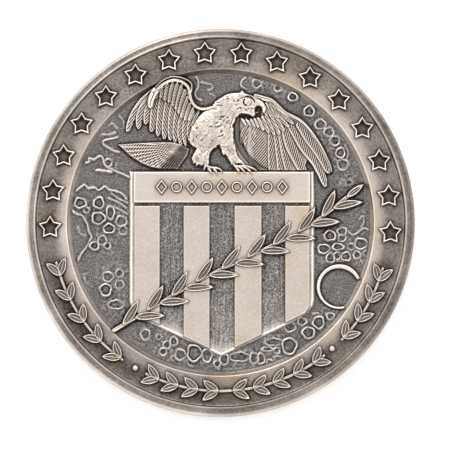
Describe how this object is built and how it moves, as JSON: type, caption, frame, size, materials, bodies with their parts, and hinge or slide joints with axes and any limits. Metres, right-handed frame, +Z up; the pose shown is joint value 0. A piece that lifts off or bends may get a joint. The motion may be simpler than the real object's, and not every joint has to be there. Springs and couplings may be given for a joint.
{
  "type": "challenge coin",
  "caption": "Round struck coin with a raised rim, a starred border and a central eagle and shield relief; lies flat on its reverse rim.",
  "frame": {"origin": "centre of the reverse rim's plane, which the coin rests on", "axes": "+Z up out of the obverse, +Y towards the top of the design, +X towards its right"},
  "size_m": [0.038, 0.038, 0.003],
  "materials": {
    "blank": "antiqued silver, dark in the recesses and worn bright on the rims",
    "relief": "antiqued silver relief, polished on the high parts",
    "satin": "fine satin silver",
    "frosted": "sandblasted and oxidised silver"
  },
  "bodies": {
    "root": {"planchet": "blank", "star_01": "relief", "star_02": "relief", "star_03": "relief", "star_04": "relief", "star_05": "relief", "star_06": "relief", "star_07": "relief", "star_08": "relief", "star_09": "relief", "star_10": "relief", "star_11": "relief", "star_12": "relief", "star_13": "relief", "star_14": "relief", "star_15": "relief", "star_16": "relief", "laurel_left": "relief", "laurel_foot": "relief", "laurel_right": "relief", "pellet_left": "relief", "pellet_right": "relief", "shield_plate": "frosted", "shield_chief": "satin", "chief_ornament": "relief", "shield_stripe_1": "satin", "shield_stripe_2": "satin", "shield_stripe_3": "satin", "shield_stripe_4": "satin", "eagle_head": "relief", "eagle_body": "relief", "eagle_left_leg": "relief", "eagle_right_leg": "relief", "eagle_left_wing": "relief", "eagle_right_wing": "relief", "eagle_tail": "relief", "laurel_branch": "relief", "crater_01": "relief", "crater_02": "relief", "crater_03": "relief", "crater_04": "relief", "crater_05": "relief", "crater_06": "relief", "crater_07": "relief", "crater_08": "relief", "crater_09": "relief", "crater_10": "relief", "crater_11": "relief", "crater_12": "relief", "crater_13": "relief", "crater_14": "relief", "crater_15": "relief", "crater_16": "relief", "crater_17": "relief", "crater_large": "relief", "reverse_wreath": "relief", "reverse_star": "relief"}
  },
  "joints": []
}
